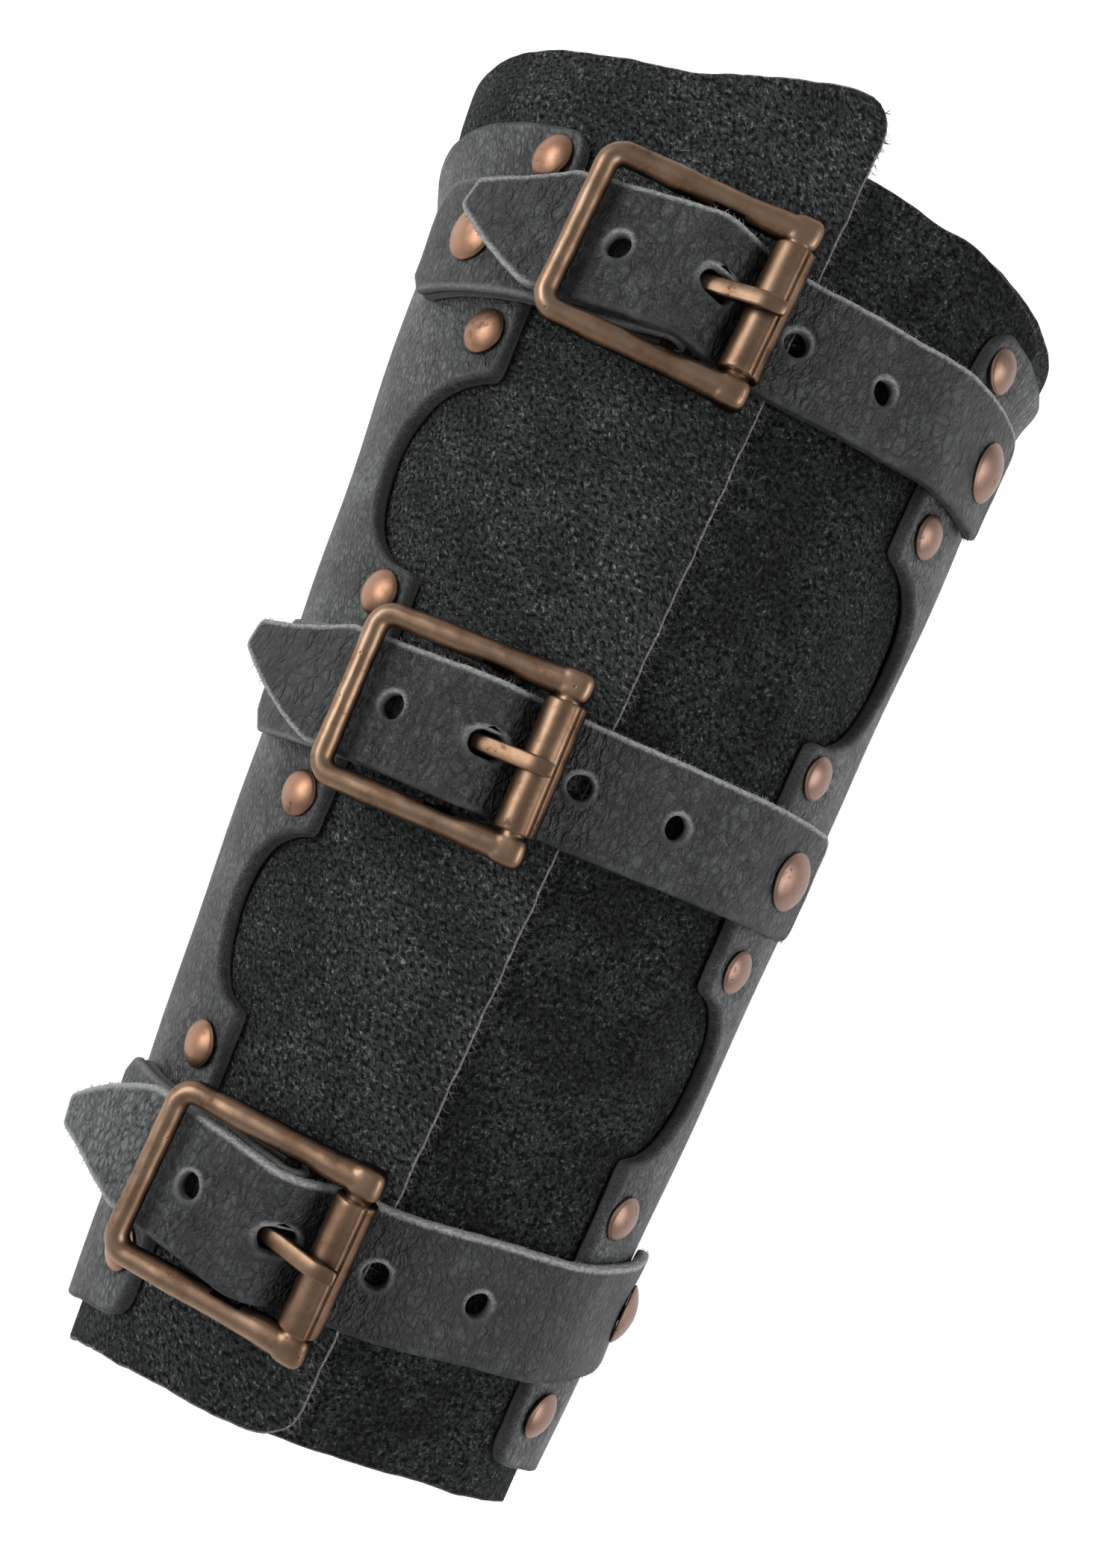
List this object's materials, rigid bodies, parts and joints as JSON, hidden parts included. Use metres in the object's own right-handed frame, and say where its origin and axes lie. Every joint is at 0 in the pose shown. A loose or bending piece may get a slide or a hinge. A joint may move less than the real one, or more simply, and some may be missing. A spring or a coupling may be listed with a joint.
{
  "type": "leather bracer",
  "caption": "Forearm bracer of grain leather over a suede wrap, closed along the front with riveted straps and roller buckles.",
  "frame": {"origin": "on the plane under the back of the bracer, below the middle of its bounding box", "axes": "the bracer lies on its back: +Y towards the elbow end, +Z out of the buckled front, +X to the side where the straps are riveted with one end free to buckle"},
  "size_m": [0.1311, 0.2741, 0.1214],
  "materials": {
    "grain_leather": "pebbled grain with a soft sheen",
    "suede": "napped suede",
    "suede_tongue": "softer napped suede",
    "strap_leather": "smooth worn grain",
    "buckle_bronze": "antique bronze, worn",
    "roller_bronze": "antique bronze, polished by wear",
    "rivet_copper": "antique copper, worn",
    "post_copper": "dull copper"
  },
  "bodies": {
    "bracer": {"outer_plate": "grain_leather", "suede_wrap": "suede", "suede_tongue": "suede_tongue", "buckle_strap_elbow": "strap_leather", "buckle_strap_middle": "strap_leather", "buckle_strap_wrist": "strap_leather", "holed_strap_elbow": "strap_leather", "holed_strap_middle": "strap_leather", "holed_strap_wrist": "strap_leather", "small_rivet_caps": "rivet_copper", "small_rivet_posts": "post_copper", "large_rivet_caps": "rivet_copper", "large_rivet_posts": "post_copper"},
    "buckle_elbow": {"buckle_frame_elbow": "buckle_bronze"},
    "roller_elbow": {"roller_elbow": "roller_bronze"},
    "prong_elbow": {"prong_elbow": "buckle_bronze"},
    "tail_elbow": {"strap_tail_elbow": "strap_leather"},
    "buckle_middle": {"buckle_frame_middle": "buckle_bronze"},
    "roller_middle": {"roller_middle": "roller_bronze"},
    "prong_middle": {"prong_middle": "buckle_bronze"},
    "tail_middle": {"strap_tail_middle": "strap_leather"},
    "buckle_wrist": {"buckle_frame_wrist": "buckle_bronze"},
    "roller_wrist": {"roller_wrist": "roller_bronze"},
    "prong_wrist": {"prong_wrist": "buckle_bronze"},
    "tail_wrist": {"strap_tail_wrist": "strap_leather"}
  },
  "joints": [
    {"name": "buckle_rock_elbow", "type": "hinge", "parent": "bracer", "child": "buckle_elbow", "pos_m": [-0.00893, 0.09052, 0.11259], "axis": [0.0565, 0.9914, 0.1183], "range_deg": [-0.6, 0.6]},
    {"name": "prong_lift_elbow", "type": "hinge", "parent": "buckle_elbow", "child": "prong_elbow", "pos_m": [-0.00893, 0.09052, 0.11259], "axis": [-0.0565, -0.9914, -0.1183], "range_deg": [0, 8]},
    {"name": "roller_spin_elbow", "type": "hinge", "parent": "buckle_elbow", "child": "roller_elbow", "pos_m": [0.00441, 0.08944, 0.11525], "axis": [0.0565, 0.9914, 0.1183], "continuous": true},
    {"name": "tail_lift_elbow", "type": "hinge", "parent": "bracer", "child": "tail_elbow", "pos_m": [-0.03413, 0.09233, 0.10945], "axis": [0.0565, 0.9914, 0.1183], "range_deg": [0, 40]},
    {"name": "buckle_rock_middle", "type": "hinge", "parent": "bracer", "child": "buckle_middle", "pos_m": [-0.01529, 0.00204, 0.10129], "axis": [0.0099, 0.9933, 0.1156], "range_deg": [-0.6, 0.6]},
    {"name": "prong_lift_middle", "type": "hinge", "parent": "buckle_middle", "child": "prong_middle", "pos_m": [-0.01529, 0.00204, 0.10129], "axis": [-0.0099, -0.9933, -0.1156], "range_deg": [0, 8]},
    {"name": "roller_spin_middle", "type": "hinge", "parent": "buckle_middle", "child": "roller_middle", "pos_m": [-0.00231, 0.00143, 0.10546], "axis": [0.0099, 0.9933, 0.1156], "continuous": true},
    {"name": "tail_lift_middle", "type": "hinge", "parent": "bracer", "child": "tail_middle", "pos_m": [-0.04, 0.00299, 0.09529], "axis": [0.0099, 0.9933, 0.1156], "range_deg": [0, 40]},
    {"name": "buckle_rock_wrist", "type": "hinge", "parent": "bracer", "child": "buckle_wrist", "pos_m": [-0.01678, -0.08893, 0.09027], "axis": [0.0461, 0.9908, 0.1269], "range_deg": [-0.6, 0.6]},
    {"name": "prong_lift_wrist", "type": "hinge", "parent": "buckle_wrist", "child": "prong_wrist", "pos_m": [-0.01678, -0.08893, 0.09027], "axis": [-0.0461, -0.9908, -0.1269], "range_deg": [0, 8]},
    {"name": "roller_spin_wrist", "type": "hinge", "parent": "buckle_wrist", "child": "roller_wrist", "pos_m": [-0.00408, -0.09014, 0.09511], "axis": [0.0461, 0.9908, 0.1269], "continuous": true},
    {"name": "tail_lift_wrist", "type": "hinge", "parent": "bracer", "child": "tail_wrist", "pos_m": [-0.04109, -0.08687, 0.083], "axis": [0.0461, 0.9908, 0.1269], "range_deg": [0, 40]}
  ]
}
